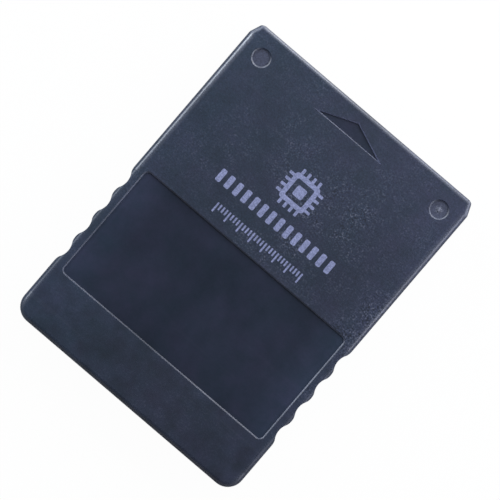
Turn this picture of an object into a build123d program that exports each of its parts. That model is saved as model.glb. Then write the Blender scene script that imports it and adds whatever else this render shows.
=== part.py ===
"""Console memory card: two moulded shells around a board with chips and contacts.

The card lies on its rear face with the front up. X runs across the card, Y towards the
connector end and Z from the rear face to the front. Sizes are in millimetres.
"""

import os
from math import asin, degrees, sqrt

from build123d import *

os.makedirs("parts", exist_ok=True)

# Card
card_width = 42.0
card_length = 55.7
card_thickness = 8.0
parting_height = 4.0
side_draft = 3.5
front_edge_radius = 0.65
rear_edge_radius = 0.5
seam_height = 0.14
seam_depth = 0.3

# Outline corners
lead_in_width = 0.8
lead_in_length = 2.0
lead_in_radius = 0.6
trailing_corner_radius = 2.7

# Finger scallops, placed from the connector edge
scallop_count = 4
scallop_first = 30.5
scallop_pitch = 4.43
scallop_depth = 0.7
crest_drop = 0.14
valley_radius = 2.6
cutter_margin = 1.0

# Walls
side_wall = 1.8
end_wall = 1.4
front_wall = 1.2
rear_wall = 1.2
cavity_corner_radius = 1.2

# Features of the front face, placed from the connector edge
recess_width = 38.6
recess_length = 19.7
recess_start = 27.15
recess_depth = 0.4
recess_corner_radius = 0.9
recess_rim = 0.2
arrow_start = 1.9
arrow_length = 2.6
arrow_width = 12.9
arrow_depth = 0.35
arrow_rim = 0.16
dimple_inset = 3.88
dimple_start = 3.96
dimple_diameter = 3.0
dimple_depth = 0.3
dimple_rim = 0.2
gate_diameter = 0.8
gate_height = 0.14
gate_slope = 35

# Skirt of the front shell, inside the walls of the rear shell
skirt_thickness = 0.7
skirt_drop = 0.8
skirt_root = 0.6
skirt_clearance = 0.1

# Pins of the front shell, under the dimples, and bosses of the rear shell
pin_diameter = 1.6
pin_engagement = 3.0
pin_clearance = 0.03
pin_tip_gap = 0.3
boss_diameter = 3.2

# Circuit board
board_thickness = 1.0
board_gap = 0.3
board_clearance = 0.2
board_hole_clearance = 0.2
board_corner = 1.0
board_edge_bevel = 0.3
grip_room = 8.2

# Contacts and the mouth around them
contact_count = 8
contacts_per_bay = 3
contact_pitch = 3.4
contact_width = 2.0
contact_length = 6.2
contact_thickness = 0.05
contact_corner = 0.3
contact_setback = 0.5
mouth_margin = 0.9
mouth_depth = 8.5
mouth_wall = 1.0
mouth_rib = 0.9
mouth_rib_setback = 1.0
mouth_rib_slope = 1.0
mouth_gap = 0.1
mouth_lead_in = 0.4

# Ribs in the grip end, which seat the rear of the board, and the bars that hold the board down
grip_rib_count = 3
grip_rib_pitch = 9.0
grip_rib_thickness = 0.9
grip_rib_gap = 0.3
board_seat = 2.0
hold_down_thickness = 1.0

# Chips, placed from the board's leading edge
chip_standoff = 0.1
chip_bevel = 0.2
chip_dot_depth = 0.1
chip_dot_diameter = 0.8
chip_dot_inset = 1.2
memory_length = 18.4
memory_width = 10.16
memory_height = 1.0
memory_leads_per_group = 10
memory_lead_pitch = 0.8
memory_group_gap = 2.4
memory_lead_width = 0.35
memory_lead_reach = 0.8
memory_x = 2.0
memory_start = 31.0
controller_size = 7.0
controller_height = 1.4
controller_leads_per_side = 8
controller_lead_pitch = 0.8
controller_lead_width = 0.35
controller_lead_reach = 1.0
controller_x = -8.5
controller_start = 16.0
lead_thickness = 0.14
lead_shoulder = 0.25
lead_slope = 0.12

# Small parts on the board
resonator_length = 4.7
resonator_width = 3.6
resonator_height = 1.4
resonator_corner = 0.3
resonator_bevel = 0.2
resonator_x = 3.5
small_part_length = 1.6
small_part_width = 0.8
capacitor_height = 0.8
resistor_height = 0.45
end_cap_length = 0.35
end_cap_skin = 0.03
small_part_gap = 1.2
capacitor_spread = 5.0
resistor_count = 4
resistor_pitch = 2.2
resistor_inset = 2.1

half_width = card_width / 2
connector_y = card_length / 2
trailing_y = -card_length / 2
front_height = card_thickness - parting_height
front_inside = card_thickness - front_wall
cavity_width = card_width - 2 * side_wall
cavity_length = card_length - 2 * end_wall
cavity_front_y = connector_y - end_wall
cavity_rear_y = trailing_y + end_wall

board_top = front_inside - board_gap
board_bottom = board_top - board_thickness
board_width = cavity_width - 2 * (skirt_clearance + skirt_thickness + board_clearance)
board_front_y = cavity_front_y - board_clearance
board_rear_y = cavity_rear_y + grip_room
board_length = board_front_y - board_rear_y

dimple_x = half_width - dimple_inset
dimple_y = connector_y - dimple_start
dimple_places = [(-dimple_x, dimple_y), (dimple_x, dimple_y)]
pin_tip = board_bottom - pin_engagement
board_hole_diameter = pin_diameter + 2 * board_hole_clearance

contact_row = (contact_count - 1) * contact_pitch
mouth_width = contact_row + contact_width + 2 * mouth_margin
mouth_back_y = connector_y - mouth_depth
mouth_top = board_bottom - mouth_gap
contact_places = [place * contact_pitch - contact_row / 2 for place in range(contact_count)]
mouth_rib_places = [x - contact_pitch / 2 for x in contact_places[contacts_per_bay::contacts_per_bay]]
grip_rib_places = [(place - (grip_rib_count - 1) / 2) * grip_rib_pitch for place in range(grip_rib_count)]

# Outline of both shells at the parting line
with BuildSketch() as card_outline:
    Rectangle(card_width, card_length)
    leading_edge = card_outline.edges().sort_by(Axis.Y)[-1]
    leading_corners = card_outline.vertices().group_by(Axis.Y)[-1]
    chamfer(leading_corners, lead_in_width, lead_in_length, reference=leading_edge)
    lead_in_corners = card_outline.vertices().filter_by(lambda corner: corner.Y > 0)
    fillet(lead_in_corners, lead_in_radius)
    fillet(card_outline.vertices().group_by(Axis.Y)[0], trailing_corner_radius)

# The same outline run on past the connector edge: both shells are drafted on it, then cut square there
lead_in_growth = 1 + cutter_margin / lead_in_length

with BuildSketch() as draft_outline:
    with Locations((0, trailing_y)):
        Rectangle(card_width, card_length + cutter_margin, align=(Align.CENTER, Align.MIN))
    run_on_edge = draft_outline.edges().sort_by(Axis.Y)[-1]
    run_on_corners = draft_outline.vertices().group_by(Axis.Y)[-1]
    chamfer(run_on_corners, lead_in_width * lead_in_growth, lead_in_length * lead_in_growth, reference=run_on_edge)
    fillet(draft_outline.vertices().group_by(Axis.Y)[1], lead_in_radius)
    fillet(draft_outline.vertices().group_by(Axis.Y)[0], trailing_corner_radius)

# A scalloped side is a wave of tangent arcs, hollow in the valleys and round on the crests
wave_height = scallop_depth - crest_drop
arc_span = wave_height / 2 + scallop_pitch**2 / (8 * wave_height)
crest_radius = arc_span - valley_radius
run_in = sqrt(2 * scallop_depth * arc_span - scallop_depth**2)
run_in_turn = degrees(asin(run_in / arc_span))
crest_turn = degrees(asin(scallop_pitch / (2 * arc_span)))
first_valley_y = connector_y - scallop_first

with BuildSketch() as scallop_cut:
    with BuildLine():
        wave = JernArc((half_width, first_valley_y + run_in), (0, -1), crest_radius, -run_in_turn)
        wave_start = wave @ 0
        entry_turn = run_in_turn
        for valley in range(scallop_count):
            exit_turn = crest_turn if valley < scallop_count - 1 else run_in_turn
            wave = JernArc(wave @ 1, wave % 1, valley_radius, entry_turn + exit_turn)
            crest_size = 2 * crest_turn if valley < scallop_count - 1 else run_in_turn
            wave = JernArc(wave @ 1, wave % 1, crest_radius, -crest_size)
            entry_turn = crest_turn
        wave_end = wave @ 1
        outside_end = wave_end + (cutter_margin, 0)
        outside_start = wave_start + (cutter_margin, 0)
        Polyline(wave_end, outside_end, outside_start, wave_start)
    make_face()
    mirror(about=Plane.YZ)

with BuildSketch() as scalloped_outline:
    add(card_outline.sketch)
    add(scallop_cut.sketch, mode=Mode.SUBTRACT)

with BuildSketch() as seam_outline:
    add(scalloped_outline.sketch)
    offset(amount=-seam_depth, mode=Mode.REPLACE)

with BuildSketch() as cavity_outline:
    RectangleRounded(cavity_width, cavity_length, cavity_corner_radius)

# Skirt: a rim along both sides and the trailing end, stopping short of the front bosses
skirt_front_y = dimple_y - boss_diameter / 2 - board_clearance

with BuildSketch() as skirt_outline:
    add(cavity_outline.sketch)
    offset(amount=-skirt_clearance, mode=Mode.REPLACE)
    offset(amount=-skirt_thickness, mode=Mode.SUBTRACT)
    with Locations((0, skirt_front_y)):
        Rectangle(card_width, card_length, align=(Align.CENTER, Align.MIN), mode=Mode.SUBTRACT)

with BuildSketch() as skirt_root_outline:
    add(cavity_outline.sketch)
    offset(amount=-skirt_clearance - skirt_thickness, mode=Mode.SUBTRACT)
    with Locations((0, skirt_front_y)):
        Rectangle(card_width, card_length, align=(Align.CENTER, Align.MIN), mode=Mode.SUBTRACT)

# Front shell: label recess, arrow and dimples outside, skirt, hold-down bars and pins inside
recess_y = connector_y - recess_start - recess_length / 2
arrow_tip_y = connector_y - arrow_start
arrow_base_y = arrow_tip_y - arrow_length

connector_face = Plane.XZ.offset(-connector_y)

with BuildPart() as front_shell:
    with BuildSketch(Plane.XY.offset(parting_height)):
        add(draft_outline.sketch)
    extrude(amount=front_height, taper=side_draft)
    split(bisect_by=connector_face, keep=Keep.TOP)
    fillet(front_shell.faces().sort_by(Axis.Y)[-1].edges().filter_by(Axis.X, reverse=True), lead_in_radius)
    fillet(front_shell.edges().group_by(Axis.Z)[-1], front_edge_radius)
    with BuildSketch(Plane.XY.offset(parting_height)):
        add(scallop_cut.sketch)
    extrude(amount=front_height, mode=Mode.SUBTRACT)
    with BuildSketch(Plane.XY.offset(parting_height)):
        Rectangle(card_width + 2 * cutter_margin, card_length + 2 * cutter_margin)
        add(seam_outline.sketch, mode=Mode.SUBTRACT)
    extrude(amount=seam_height, mode=Mode.SUBTRACT)
    with BuildSketch(Plane.XY.offset(parting_height)):
        add(cavity_outline.sketch)
    extrude(amount=front_height - front_wall, mode=Mode.SUBTRACT)
    with BuildSketch(Plane.XY.offset(parting_height)):
        add(skirt_root_outline.sketch)
    extrude(amount=skirt_root)
    with BuildSketch(Plane.XY.offset(parting_height)):
        add(skirt_outline.sketch)
    extrude(amount=-skirt_drop)
    with BuildSketch(Plane.XY.offset(parting_height)):
        with Locations((0, cavity_front_y)):
            Rectangle(mouth_width, end_wall + cutter_margin, align=(Align.CENTER, Align.MIN))
    extrude(amount=board_bottom - parting_height, mode=Mode.SUBTRACT)
    mouth_lip = front_shell.edges().filter_by(Axis.X).filter_by_position(Axis.Z, board_bottom, board_bottom)
    chamfer(mouth_lip.sort_by(Axis.Y)[-1], mouth_lead_in)
    with BuildSketch(Plane.XY.offset(card_thickness)):
        with Locations((0, recess_y)):
            RectangleRounded(recess_width, recess_length, recess_corner_radius)
        offset(amount=-recess_rim, mode=Mode.REPLACE)
    extrude(amount=-recess_depth, mode=Mode.SUBTRACT)
    chamfer(front_shell.edges(Select.LAST).group_by(Axis.Z)[-1], recess_rim)
    with BuildSketch(Plane.XY.offset(card_thickness)):
        Polygon(
            (0, arrow_tip_y),
            (-arrow_width / 2, arrow_base_y),
            (arrow_width / 2, arrow_base_y),
            align=None,
        )
        offset(amount=-arrow_rim, kind=Kind.INTERSECTION, mode=Mode.REPLACE)
    extrude(amount=-arrow_depth, mode=Mode.SUBTRACT)
    chamfer(front_shell.edges(Select.LAST).group_by(Axis.Z)[-1], arrow_rim)
    with BuildSketch(Plane.XY.offset(card_thickness)):
        with Locations(*dimple_places):
            Circle(dimple_diameter / 2 - dimple_rim)
    extrude(amount=-dimple_depth, mode=Mode.SUBTRACT)
    chamfer(front_shell.edges(Select.LAST).group_by(Axis.Z)[-1], dimple_rim)
    with BuildSketch(Plane.XY.offset(card_thickness - dimple_depth)):
        with Locations(dimple_places[-1]):
            Circle(gate_diameter / 2)
    extrude(amount=gate_height, taper=gate_slope)
    with BuildSketch(Plane.XY.offset(board_top)):
        with Locations((0, dimple_y), (0, board_rear_y + board_seat / 2)):
            Rectangle(2 * dimple_x, hold_down_thickness)
    extrude(amount=board_gap)
    with BuildSketch(Plane.XY.offset(pin_tip)):
        with Locations(*dimple_places):
            Circle(pin_diameter / 2)
    extrude(amount=front_inside - pin_tip)

front_shell.part.label = "front_shell"
export_step(front_shell.part, "parts/front_shell.step")

# Rear shell: floor, walls, connector mouth, bosses for the pins and ribs in the grip end
mouth_rib_front_y = connector_y - mouth_rib_setback
grip_rib_rear_y = cavity_rear_y + skirt_clearance + skirt_thickness + grip_rib_gap
grip_rib_top = front_inside - grip_rib_gap
board_stop_y = board_rear_y - board_clearance
board_seat_y = board_rear_y + board_seat
mouth_wall_front_y = cavity_front_y - board_clearance
mouth_wall_rear_y = mouth_back_y - mouth_wall

with BuildPart() as rear_shell:
    with BuildSketch(Plane.XY.offset(parting_height)):
        add(draft_outline.sketch)
    extrude(amount=parting_height, taper=side_draft)
    split(bisect_by=connector_face, keep=Keep.TOP)
    fillet(rear_shell.faces().sort_by(Axis.Y)[-1].edges().filter_by(Axis.X, reverse=True), lead_in_radius)
    mirror(about=Plane.XY.offset(parting_height), mode=Mode.REPLACE)
    fillet(rear_shell.edges().group_by(Axis.Z)[0], rear_edge_radius)
    with BuildSketch():
        add(scallop_cut.sketch)
    extrude(amount=parting_height, mode=Mode.SUBTRACT)
    with BuildSketch(Plane.XY.offset(rear_wall)):
        add(cavity_outline.sketch)
        with Locations((0, cavity_front_y)):
            Rectangle(mouth_width, end_wall + cutter_margin, align=(Align.CENTER, Align.MIN))
    extrude(amount=parting_height - rear_wall, mode=Mode.SUBTRACT)
    mouth_sill = rear_shell.edges().filter_by(Axis.X).filter_by_position(Axis.Z, rear_wall, rear_wall)
    chamfer(mouth_sill.sort_by(Axis.Y)[-1], mouth_lead_in)
    with BuildSketch(Plane.YZ.offset(mouth_width / 2), Plane.YZ.offset(-mouth_width / 2 - mouth_wall)):
        with BuildLine():
            Polyline(
                (mouth_wall_rear_y, rear_wall),
                (cavity_front_y, rear_wall),
                (cavity_front_y, parting_height),
                (mouth_wall_front_y, parting_height),
                (mouth_wall_front_y, mouth_top),
                (mouth_wall_rear_y, mouth_top),
                close=True,
            )
        make_face()
    extrude(amount=mouth_wall)
    with BuildSketch(Plane.XY.offset(rear_wall)):
        with Locations((0, mouth_back_y)):
            Rectangle(mouth_width, mouth_wall, align=(Align.CENTER, Align.MAX))
    extrude(amount=mouth_top - rear_wall)
    with BuildSketch(*[Plane.YZ.offset(x - mouth_rib / 2) for x in mouth_rib_places]):
        with BuildLine():
            Polyline(
                (mouth_back_y, rear_wall),
                (mouth_rib_front_y, rear_wall),
                (mouth_rib_front_y - mouth_rib_slope, mouth_top),
                (mouth_back_y, mouth_top),
                close=True,
            )
        make_face()
    extrude(amount=mouth_rib)
    with BuildSketch(*[Plane.YZ.offset(x - grip_rib_thickness / 2) for x in grip_rib_places]):
        with BuildLine():
            Polyline(
                (grip_rib_rear_y, rear_wall),
                (board_seat_y, rear_wall),
                (board_seat_y, board_bottom),
                (board_stop_y, board_bottom),
                (board_stop_y, grip_rib_top),
                (grip_rib_rear_y, grip_rib_top),
                close=True,
            )
        make_face()
    extrude(amount=grip_rib_thickness)
    with BuildSketch(Plane.XY.offset(rear_wall)):
        with Locations(*dimple_places):
            Circle(boss_diameter / 2)
    extrude(amount=board_bottom - rear_wall)
    with BuildSketch(Plane.XY.offset(board_bottom)):
        with Locations(*dimple_places):
            Circle(pin_diameter / 2 + pin_clearance)
    extrude(amount=-pin_engagement - pin_tip_gap, mode=Mode.SUBTRACT)

rear_shell.part.label = "rear_shell"
export_step(rear_shell.part, "parts/rear_shell.step")

# Circuit board: notches for the pins and a bevelled leading edge
with BuildPart() as circuit_board:
    with BuildSketch(Plane.XY.offset(board_bottom)) as board_outline:
        with Locations((0, board_front_y)):
            Rectangle(board_width, board_length, align=(Align.CENTER, Align.MAX))
        chamfer(board_outline.vertices(), board_corner)
        with Locations(*dimple_places):
            Circle(board_hole_diameter / 2, mode=Mode.SUBTRACT)
        with Locations(dimple_places[0]):
            Rectangle(board_width, board_hole_diameter, align=(Align.MAX, Align.CENTER), mode=Mode.SUBTRACT)
        with Locations(dimple_places[-1]):
            Rectangle(board_width, board_hole_diameter, align=(Align.MIN, Align.CENTER), mode=Mode.SUBTRACT)
    extrude(amount=board_thickness)
    chamfer(circuit_board.edges().filter_by(Axis.X).group_by(Axis.Y)[-1], board_edge_bevel)

circuit_board.part.label = "circuit_board"
export_step(circuit_board.part, "parts/circuit_board.step")

# Contacts, plated on the rear side of the board
for number, contact_x in enumerate(contact_places, start=1):
    with BuildPart() as contact:
        with BuildSketch(Plane.XY.offset(board_bottom)) as contact_outline:
            with Locations((contact_x, board_front_y - contact_setback - contact_length / 2)):
                Rectangle(contact_width, contact_length)
            chamfer(contact_outline.vertices(), contact_corner)
        extrude(amount=-contact_thickness)
    contact.part.label = f"contact_{number}"
    export_step(contact.part, f"parts/contact_{number}.step")

# Chips hang from the rear side of the board on gull-wing leads
chip_top = board_bottom - chip_standoff
memory_y = board_front_y - memory_start
controller_y = board_front_y - controller_start


def chip_body(x, y, length, width, height):
    with BuildPart() as body:
        with BuildSketch(Plane.XY.offset(chip_top)):
            with Locations((x, y)):
                Rectangle(length, width)
        extrude(amount=-height)
        chamfer(body.faces().filter_by(Axis.Z).edges(), chip_bevel)
        with BuildSketch(Plane.XY.offset(chip_top - height)):
            with Locations((x - length / 2 + chip_dot_inset, y - width / 2 + chip_dot_inset)):
                Circle(chip_dot_diameter / 2)
        extrude(amount=chip_dot_depth, mode=Mode.SUBTRACT)
    return body


def gull_wing_lead(body_width, body_height, lead_width, reach):
    root_y = body_width / 2
    root_z = chip_top - body_height / 2
    foot_z = board_bottom - lead_thickness / 2
    with BuildPart() as lead:
        with BuildSketch(Plane.YZ):
            with BuildLine():
                Polyline(
                    (root_y, root_z),
                    (root_y + lead_shoulder, root_z),
                    (root_y + lead_shoulder + lead_slope, foot_z),
                    (root_y + reach, foot_z),
                )
            trace(line_width=lead_thickness)
        extrude(amount=lead_width / 2, both=True)
    return lead


memory_group_pitch = (memory_leads_per_group - 1) * memory_lead_pitch + memory_group_gap
memory_lead = gull_wing_lead(memory_width, memory_height, memory_lead_width, memory_lead_reach)
controller_lead = gull_wing_lead(
    controller_size, controller_height, controller_lead_width, controller_lead_reach
)

memory_chip = chip_body(memory_x, memory_y, memory_length, memory_width, memory_height)
memory_chip.part.label = "memory_chip"
export_step(memory_chip.part, "parts/memory_chip.step")

with BuildPart() as memory_chip_leads:
    with Locations((memory_x, memory_y)):
        with PolarLocations(0, 2):
            with GridLocations(memory_group_pitch, 0, 2, 1):
                with GridLocations(memory_lead_pitch, 0, memory_leads_per_group, 1):
                    add(memory_lead.part)

memory_chip_leads.part.label = "memory_chip_leads"
export_step(memory_chip_leads.part, "parts/memory_chip_leads.step")

controller_chip = chip_body(controller_x, controller_y, controller_size, controller_size, controller_height)
controller_chip.part.label = "controller_chip"
export_step(controller_chip.part, "parts/controller_chip.step")

with BuildPart() as controller_chip_leads:
    with Locations((controller_x, controller_y)):
        with PolarLocations(0, 4):
            with GridLocations(controller_lead_pitch, 0, controller_leads_per_side, 1):
                add(controller_lead.part)

controller_chip_leads.part.label = "controller_chip_leads"
export_step(controller_chip_leads.part, "parts/controller_chip_leads.step")

# Resonator beside the controller
with BuildPart() as resonator:
    with BuildSketch(Plane.XY.offset(board_bottom)) as resonator_outline:
        with Locations((resonator_x, controller_y)):
            Rectangle(resonator_length, resonator_width)
        chamfer(resonator_outline.vertices(), resonator_corner)
    extrude(amount=-resonator_height)
    chamfer(resonator.faces().sort_by(Axis.Z)[0].edges(), resonator_bevel)

resonator.part.label = "resonator"
export_step(resonator.part, "parts/resonator.step")


# Capacitors and resistors: a body between two plated end caps
def small_part(height):
    with BuildPart() as piece:
        with BuildSketch(Plane.XY.offset(board_bottom - end_cap_skin)):
            Rectangle(small_part_length - 2 * end_cap_length, small_part_width - 2 * end_cap_skin)
        extrude(amount=2 * end_cap_skin - height)
        with BuildSketch(Plane.XY.offset(board_bottom)):
            with GridLocations(small_part_length - end_cap_length, 0, 2, 1):
                Rectangle(end_cap_length, small_part_width)
        extrude(amount=-height)
    return piece


beside_memory = memory_length / 2 + small_part_gap + small_part_width / 2
beside_controller = controller_size / 2 + controller_lead_reach + small_part_gap + small_part_width / 2
capacitor_places = [
    (memory_x - beside_memory, memory_y + capacitor_spread / 2),
    (memory_x - beside_memory, memory_y - capacitor_spread / 2),
    (memory_x + beside_memory, memory_y),
    (controller_x + beside_controller, controller_y + capacitor_spread / 2),
    (controller_x + beside_controller, controller_y - capacitor_spread / 2),
]
last_resistor_x = board_width / 2 - resistor_inset
resistor_places = [
    (last_resistor_x - place * resistor_pitch, controller_y) for place in range(resistor_count)
]

for kind, height, places in (
    ("capacitor", capacitor_height, capacitor_places),
    ("resistor", resistor_height, resistor_places),
):
    small_part_model = small_part(height)
    for number, (part_x, part_y) in enumerate(places, start=1):
        with BuildPart() as placed_part:
            with Locations(Location((part_x, part_y, 0), (0, 0, 90))):
                add(small_part_model.part)
        placed_part.part.label = f"{kind}_{number}"
        export_step(placed_part.part, f"parts/{kind}_{number}.step")
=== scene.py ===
from math import cos, pi, radians, sin

import bpy
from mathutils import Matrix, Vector


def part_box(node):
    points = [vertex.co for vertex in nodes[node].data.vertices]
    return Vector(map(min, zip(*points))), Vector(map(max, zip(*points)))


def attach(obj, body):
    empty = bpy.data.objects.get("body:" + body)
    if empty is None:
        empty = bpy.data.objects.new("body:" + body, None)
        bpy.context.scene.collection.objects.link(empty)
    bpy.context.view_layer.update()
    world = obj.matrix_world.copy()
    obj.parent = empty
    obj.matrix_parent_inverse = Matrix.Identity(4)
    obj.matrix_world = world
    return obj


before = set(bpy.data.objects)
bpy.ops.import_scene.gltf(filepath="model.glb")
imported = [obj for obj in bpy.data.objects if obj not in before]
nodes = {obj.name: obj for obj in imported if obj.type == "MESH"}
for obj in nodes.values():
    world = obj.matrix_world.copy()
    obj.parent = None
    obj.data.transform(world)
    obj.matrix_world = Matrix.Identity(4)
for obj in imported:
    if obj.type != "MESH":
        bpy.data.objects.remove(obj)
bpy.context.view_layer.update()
mm = 0.001
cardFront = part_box("front_shell")[1].z  # front face, where the print lies
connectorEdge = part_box("rear_shell")[1].y
print("frame: %d nodes, front face at %.4f m" % (len(nodes), cardFront))


# node tree helpers
def feed(tree, socket, value):
    if isinstance(value, bpy.types.NodeSocket):
        tree.links.new(value, socket)
    else:
        socket.default_value = value


def addNode(tree, kind, inputs=None, **settings):
    node = tree.nodes.new(kind)
    for name, value in settings.items():
        setattr(node, name, value)
    for name, value in (inputs or {}).items():
        feed(tree, node.inputs[name], value)
    return node


def calc(tree, operation, *values, clamp=False):
    node = addNode(tree, "ShaderNodeMath", dict(enumerate(values)), operation=operation, use_clamp=clamp)
    return node.outputs[0]


def product(tree, first, *others):
    for value in others:
        first = calc(tree, "MULTIPLY", first, value)
    return first


def opposite(tree, mask):
    return calc(tree, "SUBTRACT", 1.0, mask)


def within(tree, value, low, high):  # 1 where low <= value <= high
    return calc(tree, "COMPARE", value, (low + high) / 2, (high - low) / 2)


def remap(tree, value, fromLow, fromHigh, toLow=0.0, toHigh=1.0):
    values = {"Value": value, "From Min": fromLow, "From Max": fromHigh, "To Min": toLow, "To Max": toHigh}
    return addNode(tree, "ShaderNodeMapRange", values).outputs["Result"]


def between(tree, mask, low, high):  # low where the mask is 0, high where it is 1
    return remap(tree, mask, 0.0, 1.0, low, high)


def mixColour(tree, factor, first, second, blend="MIX"):
    node = addNode(tree, "ShaderNodeMix", data_type="RGBA", blend_type=blend)
    feed(tree, node.inputs[0], factor)
    feed(tree, node.inputs[6], first)
    feed(tree, node.inputs[7], second)
    return node.outputs[2]


def shaded(tree, tint, shade):  # the tint made darker or paler by a value around 1
    return mixColour(tree, 1.0, tint, shade, "MULTIPLY")


def mixValue(tree, factor, first, second):
    node = addNode(tree, "ShaderNodeMix", {0: factor, 2: first, 3: second})
    return node.outputs[0]


def coordinates(tree, kind):  # the surface's own place or normal, whole and by axis
    vector = addNode(tree, "ShaderNodeTexCoord").outputs[kind]
    return vector, addNode(tree, "ShaderNodeSeparateXYZ", {"Vector": vector}).outputs


def objectPlace(tree):
    return addNode(tree, "ShaderNodeTexCoord").outputs["Object"]


def noise(tree, place, scale, **shape):
    node = addNode(tree, "ShaderNodeTexNoise", {"Vector": place, "Scale": scale, **shape})
    return node.outputs["Fac"]


def newGroup(name, kind, inputs, outputs):
    group = bpy.data.node_groups.new(name, kind)
    for side, sockets in (("INPUT", inputs), ("OUTPUT", outputs)):
        for label, socketKind, *default in sockets:
            socket = group.interface.new_socket(label, in_out=side, socket_type="NodeSocket" + socketKind)
            if default:
                socket.default_value = default[0]
    entry = addNode(group, "NodeGroupInput")
    leave = addNode(group, "NodeGroupOutput")
    return group, entry.outputs, leave.inputs


def useGroup(tree, group, values):
    return addNode(tree, "ShaderNodeGroup", values, node_tree=group).outputs


def newMaterial(name, fixed=None):
    material = bpy.data.materials.new(name)
    material.use_nodes = True
    tree = material.node_tree
    tree.nodes.clear()
    shader = addNode(tree, "ShaderNodeBsdfPrincipled", fixed)
    output = addNode(tree, "ShaderNodeOutputMaterial")
    tree.links.new(shader.outputs[0], output.inputs["Surface"])
    return material, tree, shader.inputs


def bumpFrom(tree, height, distance):
    return addNode(tree, "ShaderNodeBump", {"Height": height, "Distance": distance}).outputs["Normal"]


def colour(red, green, blue):
    return (red, green, blue, 1.0)


# shared surface effects
mouldShape = {
    "pebblesPerGrain": 0.55,
    "pebbleHeight": 0.6,
    "heightRange": (0.5, 1.0),  # what most of the grain's height lies in
    "mottleScale": 150.0,
    "cloudScale": 95.0,
    "evenRange": (0.3, 0.7),
    "patchScale": 420.0,
    "patchRange": (0.30, 0.65),
    "fleckRange": (0.60, 0.78),
    "pitRange": (0.45, 0.30),
}
handling = {
    "lineTurns": (0.35, 1.25, 2.3),
    "lineStretch": 0.035,
    "lineRange": (0.70, 0.76),
    "smudgeRange": (0.35, 0.68),
}


def makeMouldedGrain():  # fine eroded grain of a moulded surface, with stray light flecks and dark pits
    shape = mouldShape
    group, given, result = newGroup(
        "mouldedGrain", "ShaderNodeTree",
        [("Place", "Vector"), ("Grain Size", "Float", 0.16 * mm), ("Fleck Size", "Float", 0.24 * mm)],
        [(name, "Float") for name in ("Height", "Mottle", "Clouds", "Patches", "Flecks", "Pits")],
    )
    place = given["Place"]
    fine = noise(group, place, calc(group, "DIVIDE", 1.0, given["Grain Size"]), Detail=2.0)
    pebbleScale = calc(group, "DIVIDE", shape["pebblesPerGrain"], given["Grain Size"])
    pebble = addNode(
        group, "ShaderNodeTexVoronoi", {"Vector": place, "Scale": pebbleScale}, feature="SMOOTH_F1"
    )
    pebbleHeight = product(group, pebble.outputs["Distance"], shape["pebbleHeight"])
    feed(group, result["Height"], calc(group, "ADD", fine, pebbleHeight))
    mottle = noise(group, place, shape["mottleScale"], Detail=4.0, Roughness=0.72)
    feed(group, result["Mottle"], remap(group, mottle, *shape["evenRange"]))
    cloud = noise(group, place, shape["cloudScale"], Detail=2.0)
    feed(group, result["Clouds"], remap(group, cloud, *shape["evenRange"]))
    patch = remap(group, noise(group, place, shape["patchScale"], Detail=2.0), *shape["patchRange"])
    feed(group, result["Patches"], patch)
    fleck = noise(group, place, calc(group, "DIVIDE", 1.0, given["Fleck Size"]), Detail=0.0)
    feed(group, result["Flecks"], product(group, remap(group, fleck, *shape["fleckRange"]), patch))
    feed(group, result["Pits"], product(group, remap(group, fleck, *shape["pitRange"]), patch))
    return group


def makeHandlingMarks():  # hairline scratches and soft smudges from use
    group, given, result = newGroup(
        "handlingMarks", "ShaderNodeTree",
        [("Place", "Vector"), ("Hairline Size", "Float", 0.7 * mm), ("Smudge Size", "Float", 9 * mm)],
        [("Hairlines", "Float"), ("Smudge", "Float")],
    )
    place = given["Place"]
    lineScale = calc(group, "DIVIDE", 1.0, given["Hairline Size"])
    stretch = (handling["lineStretch"], 1.0, 1.0)
    hairlines = 0.0
    for turn in handling["lineTurns"]:
        along = {"Vector": place, "Rotation": (0.0, 0.0, turn), "Scale": stretch}
        mapping = addNode(group, "ShaderNodeMapping", along)
        streak = noise(group, mapping.outputs[0], lineScale, Detail=1.0, Distortion=0.3)
        hairlines = calc(group, "MAXIMUM", hairlines, remap(group, streak, *handling["lineRange"]))
    feed(group, result["Hairlines"], hairlines)
    smudgeScale = calc(group, "DIVIDE", 1.0, given["Smudge Size"])
    smudge = noise(group, place, smudgeScale, Detail=5.0, Roughness=0.6)
    feed(group, result["Smudge"], remap(group, smudge, *handling["smudgeRange"]))
    return group


mouldedGrain = makeMouldedGrain()
handlingMarks = makeHandlingMarks()
print("shared effects: grain, handling marks")


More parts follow.
